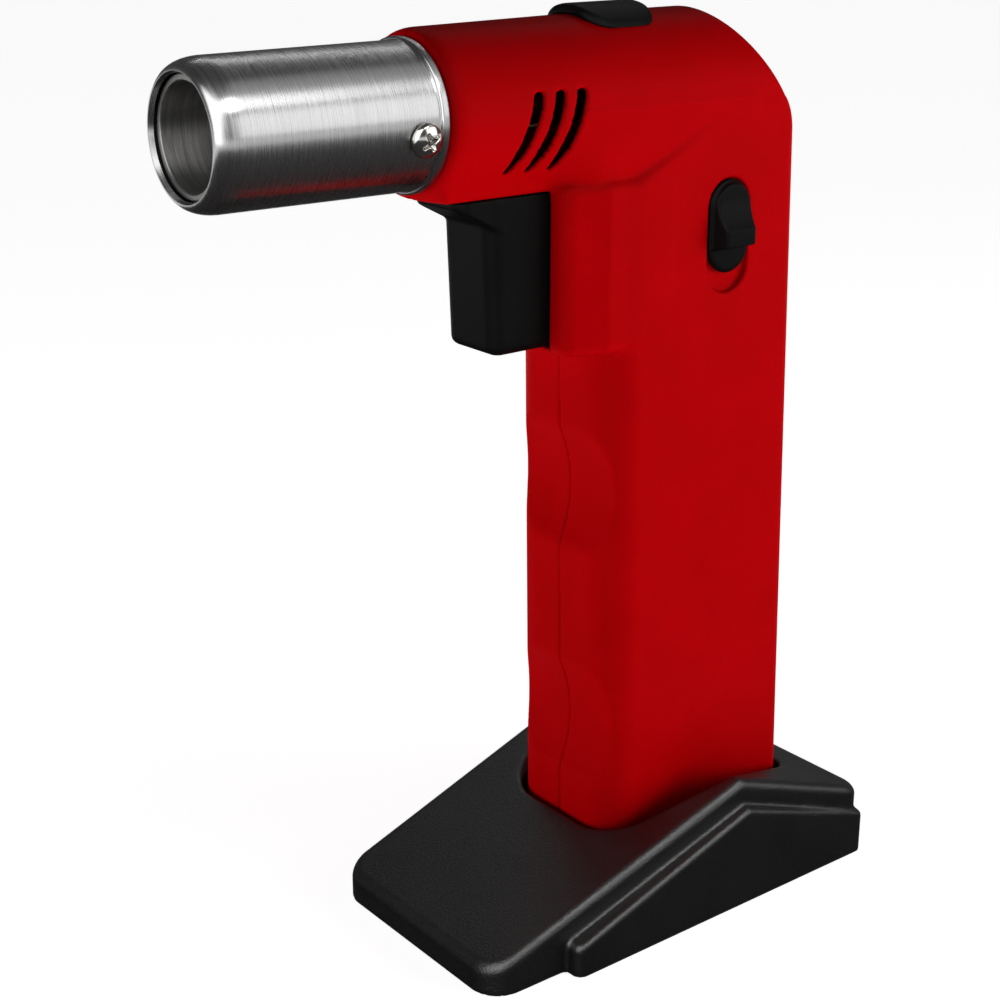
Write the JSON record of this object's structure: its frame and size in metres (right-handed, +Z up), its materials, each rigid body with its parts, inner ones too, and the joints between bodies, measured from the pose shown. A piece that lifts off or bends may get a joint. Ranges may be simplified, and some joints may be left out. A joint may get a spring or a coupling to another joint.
{
  "type": "butane torch",
  "caption": "Pistol-shaped butane torch with a steel barrel, red moulded housing, sliding trigger, flame slider and lock, standing in a slip-on black foot.",
  "frame": {"origin": "centre of the bounding box at floor level", "axes": "+Z up; the barrel points to -X; -Y is the torch's left side, which carries the flame slider"},
  "size_m": [0.149, 0.063, 0.1893],
  "materials": {
    "red_plastic": "satin moulded",
    "black_plastic": "fine-textured moulded",
    "steel": "brushed",
    "brass": "turned",
    "black_rubber": "matte",
    "white_ceramic": "fired ceramic",
    "natural_plastic": "natural moulded"
  },
  "bodies": {
    "stand": {"stand_base": "black_plastic", "stand_foot_1": "black_rubber", "stand_foot_2": "black_rubber", "stand_foot_3": "black_rubber", "stand_foot_4": "black_rubber"},
    "torch": {"housing_left": "red_plastic", "housing_right": "red_plastic", "piezo_igniter": "black_plastic", "barrel": "steel", "barrel_screw_1": "steel", "barrel_screw_2": "steel", "mount_sleeve": "steel", "burner_tube": "steel", "electrode": "steel", "lever_pin": "steel", "trigger_spring": "steel", "filler_spring": "steel", "housing_screw_1": "steel", "housing_screw_2": "steel", "housing_screw_3": "steel", "housing_screw_4": "steel", "housing_screw_5": "steel", "flame_holder": "brass", "mixing_tube": "brass", "gas_jet": "brass", "valve_body": "brass", "valve_inlet": "brass", "filler_body": "brass", "gas_hose": "black_rubber", "igniter_lead": "black_rubber", "tank_gasket": "black_rubber", "filler_seal": "black_rubber", "electrode_insulator": "white_ceramic", "fuel_tank": "natural_plastic", "tank_lid": "natural_plastic", "dip_tube": "natural_plastic"},
    "trigger": {"trigger": "black_plastic", "piezo_plunger": "natural_plastic"},
    "valve_lever": {"valve_lever": "steel"},
    "valve_stem": {"valve_stem": "steel"},
    "flame_slider": {"flame_slider": "black_plastic"},
    "regulator_collar": {"regulator_collar": "black_plastic"},
    "lock": {"lock_button": "black_plastic", "lock_clip": "steel"},
    "filler_stem": {"filler_stem": "brass"}
  },
  "joints": [
    {"name": "torch_lift", "type": "slide", "parent": "stand", "child": "torch", "axis": [0, 0, 1], "range_m": [0, 0.03]},
    {"name": "trigger_pull", "type": "slide", "parent": "torch", "child": "trigger", "axis": [1, 0, 0], "range_m": [0, 0.006], "stiffness_N_per_m": 1200, "springref_m": -0.004, "deforming": ["trigger_spring"]},
    {"name": "lever_swing", "type": "hinge", "parent": "torch", "child": "valve_lever", "pos_m": [0.012, 0, 0.152], "axis": [0, -1, 0], "range_deg": [0, 28]},
    {"name": "stem_push", "type": "slide", "parent": "torch", "child": "valve_stem", "axis": [1, 0, 0], "range_m": [0, 0.0023]},
    {"name": "flame_adjust", "type": "slide", "parent": "torch", "child": "flame_slider", "axis": [0, 0, 1], "range_m": [-0.0038, 0]},
    {"name": "collar_turn", "type": "hinge", "parent": "torch", "child": "regulator_collar", "pos_m": [0.03795, 0, 0.1475], "axis": [1, 0, 0], "range_deg": [0, 21.2]},
    {"name": "lock_slide", "type": "slide", "parent": "torch", "child": "lock", "axis": [1, 0, 0], "range_m": [0, 0.004]},
    {"name": "filler_press", "type": "slide", "parent": "torch", "child": "filler_stem", "axis": [0, 0, 1], "range_m": [0, 0.0012], "stiffness_N_per_m": 600, "springref_m": -0.001, "deforming": ["filler_spring"]}
  ],
  "couplings": [
    {"joint": "lever_swing", "follows": "trigger_pull", "rad_per_m": 80},
    {"joint": "stem_push", "follows": "trigger_pull", "ratio": 0.36},
    {"joint": "collar_turn", "follows": "flame_adjust", "rad_per_m": -96.154}
  ]
}
